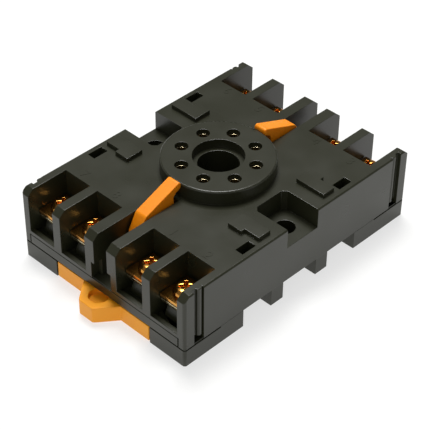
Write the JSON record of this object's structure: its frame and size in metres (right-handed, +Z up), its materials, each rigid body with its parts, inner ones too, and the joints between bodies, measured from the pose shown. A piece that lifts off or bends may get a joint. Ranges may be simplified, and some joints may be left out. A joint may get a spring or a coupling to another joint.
{
  "type": "relay socket",
  "caption": "Rectangular plug-in relay socket with a raised round pin field, screw terminals at both ends, ejector levers, side notches for panel screws and a rail slider.",
  "frame": {"origin": "on the standing surface, under the centre of the pin circle", "axes": "+X along the length, away from the end with the slider's thumb tab; +Z up, out of the pin field"},
  "size_m": [0.0747, 0.05, 0.023],
  "materials": {
    "black_moulding": "fine satin moulded thermoplastic, black with an olive cast",
    "orange_slider": "satin moulded thermoplastic, light orange",
    "orange_lever": "satin moulded thermoplastic, orange",
    "passivated_steel": "zinc plated and yellow passivated steel",
    "contact_metal": "plated brass strip, bright at the cut edges"
  },
  "bodies": {
    "socket": {"housing": "black_moulding", "base_plate": "black_moulding", "contact_1": "contact_metal", "contact_2": "contact_metal", "contact_3": "contact_metal", "contact_4": "contact_metal", "contact_5": "contact_metal", "contact_6": "contact_metal", "contact_7": "contact_metal", "contact_8": "contact_metal"},
    "slider": {"rail_slider": "orange_slider"},
    "near_lever": {"lever_near": "orange_lever"},
    "far_lever": {"lever_far": "orange_lever"},
    "clamp_1": {"terminal_screw_1": "passivated_steel", "clamp_plate_1": "passivated_steel"},
    "clamp_2": {"terminal_screw_2": "passivated_steel", "clamp_plate_2": "passivated_steel"},
    "clamp_3": {"terminal_screw_3": "passivated_steel", "clamp_plate_3": "passivated_steel"},
    "clamp_4": {"terminal_screw_4": "passivated_steel", "clamp_plate_4": "passivated_steel"},
    "clamp_5": {"terminal_screw_5": "passivated_steel", "clamp_plate_5": "passivated_steel"},
    "clamp_6": {"terminal_screw_6": "passivated_steel", "clamp_plate_6": "passivated_steel"},
    "clamp_7": {"terminal_screw_7": "passivated_steel", "clamp_plate_7": "passivated_steel"},
    "clamp_8": {"terminal_screw_8": "passivated_steel", "clamp_plate_8": "passivated_steel"}
  },
  "joints": [
    {"name": "slider_pull", "type": "slide", "parent": "socket", "child": "slider", "axis": [-1, 0, 0], "range_m": [0, 0.003], "stiffness_N_per_m": 400, "springref_m": -0.001},
    {"name": "near_lever_turn", "type": "hinge", "parent": "socket", "child": "near_lever", "pos_m": [-0.021, 0, 0.0125], "axis": [0, -1, 0], "range_deg": [0, 35]},
    {"name": "far_lever_turn", "type": "hinge", "parent": "socket", "child": "far_lever", "pos_m": [0.021, 0, 0.0125], "axis": [0, 1, 0], "range_deg": [0, 35]},
    {"name": "clamp_1_lift", "type": "slide", "parent": "socket", "child": "clamp_1", "axis": [0, 0, 1], "range_m": [0, 0.0025]},
    {"name": "clamp_2_lift", "type": "slide", "parent": "socket", "child": "clamp_2", "axis": [0, 0, 1], "range_m": [0, 0.0025]},
    {"name": "clamp_3_lift", "type": "slide", "parent": "socket", "child": "clamp_3", "axis": [0, 0, 1], "range_m": [0, 0.0025]},
    {"name": "clamp_4_lift", "type": "slide", "parent": "socket", "child": "clamp_4", "axis": [0, 0, 1], "range_m": [0, 0.0025]},
    {"name": "clamp_5_lift", "type": "slide", "parent": "socket", "child": "clamp_5", "axis": [0, 0, 1], "range_m": [0, 0.0025]},
    {"name": "clamp_6_lift", "type": "slide", "parent": "socket", "child": "clamp_6", "axis": [0, 0, 1], "range_m": [0, 0.0025]},
    {"name": "clamp_7_lift", "type": "slide", "parent": "socket", "child": "clamp_7", "axis": [0, 0, 1], "range_m": [0, 0.0025]},
    {"name": "clamp_8_lift", "type": "slide", "parent": "socket", "child": "clamp_8", "axis": [0, 0, 1], "range_m": [0, 0.0025]}
  ]
}
